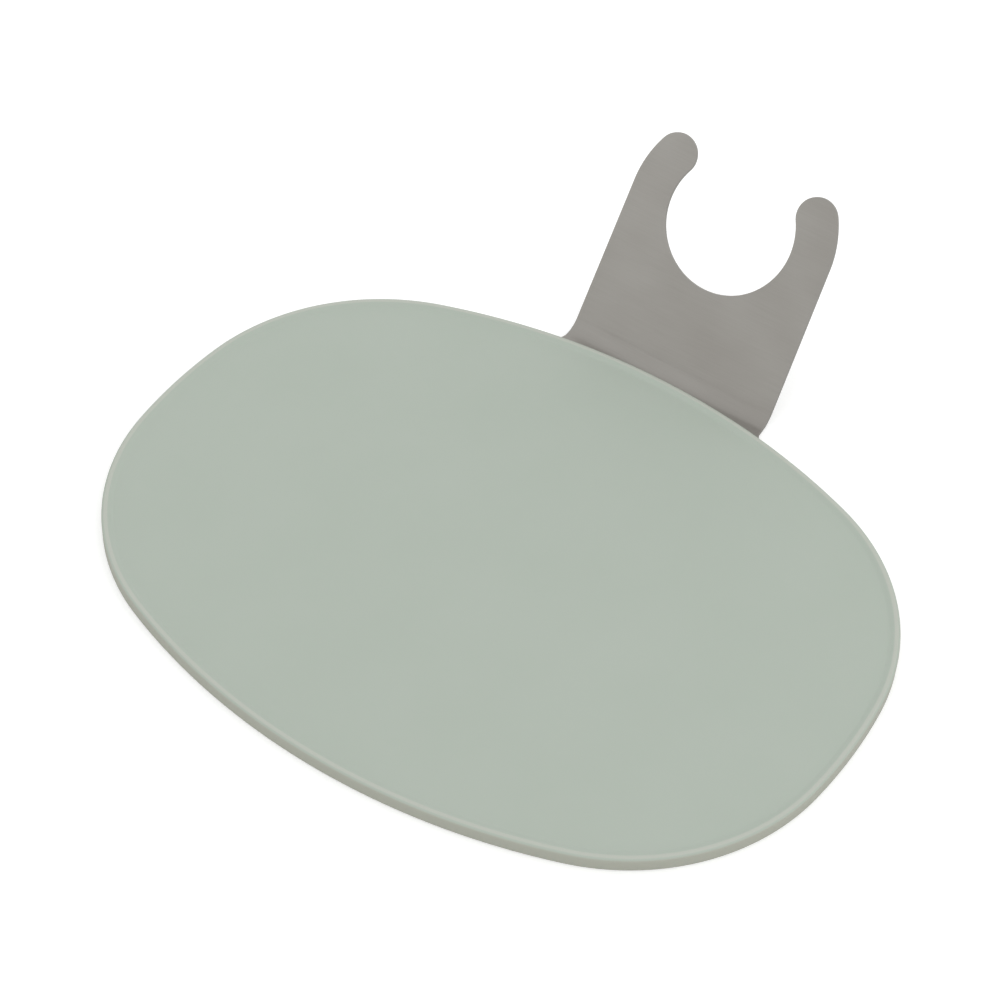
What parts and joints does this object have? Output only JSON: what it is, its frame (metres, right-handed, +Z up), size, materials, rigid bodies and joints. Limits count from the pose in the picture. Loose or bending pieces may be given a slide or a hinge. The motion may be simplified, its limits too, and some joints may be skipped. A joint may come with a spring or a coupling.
{
  "type": "clip-on tray",
  "caption": "Flat oval tray with a low rim and a lift-off silicone cover, on a bent steel plate whose raised tab ends in an open C-shaped hook for a post.",
  "frame": {"origin": "middle of the steel plate's flat underside, under the centre of the oval", "axes": "+X along the oval's long axis, +Y from the oval to the hook, +Z up out of the tray's top"},
  "size_m": [0.28, 0.2659, 0.07],
  "materials": {
    "brushed_steel": "fine brushed, matt",
    "sage_silicone": "matt moulded silicone, sage green"
  },
  "bodies": {
    "frame": {"hook_plate": "brushed_steel"},
    "cover": {"silicone_cover": "sage_silicone"}
  },
  "joints": [
    {"name": "cover_lift", "type": "slide", "parent": "frame", "child": "cover", "axis": [0, 0, 1], "range_m": [0, 0.08]}
  ]
}
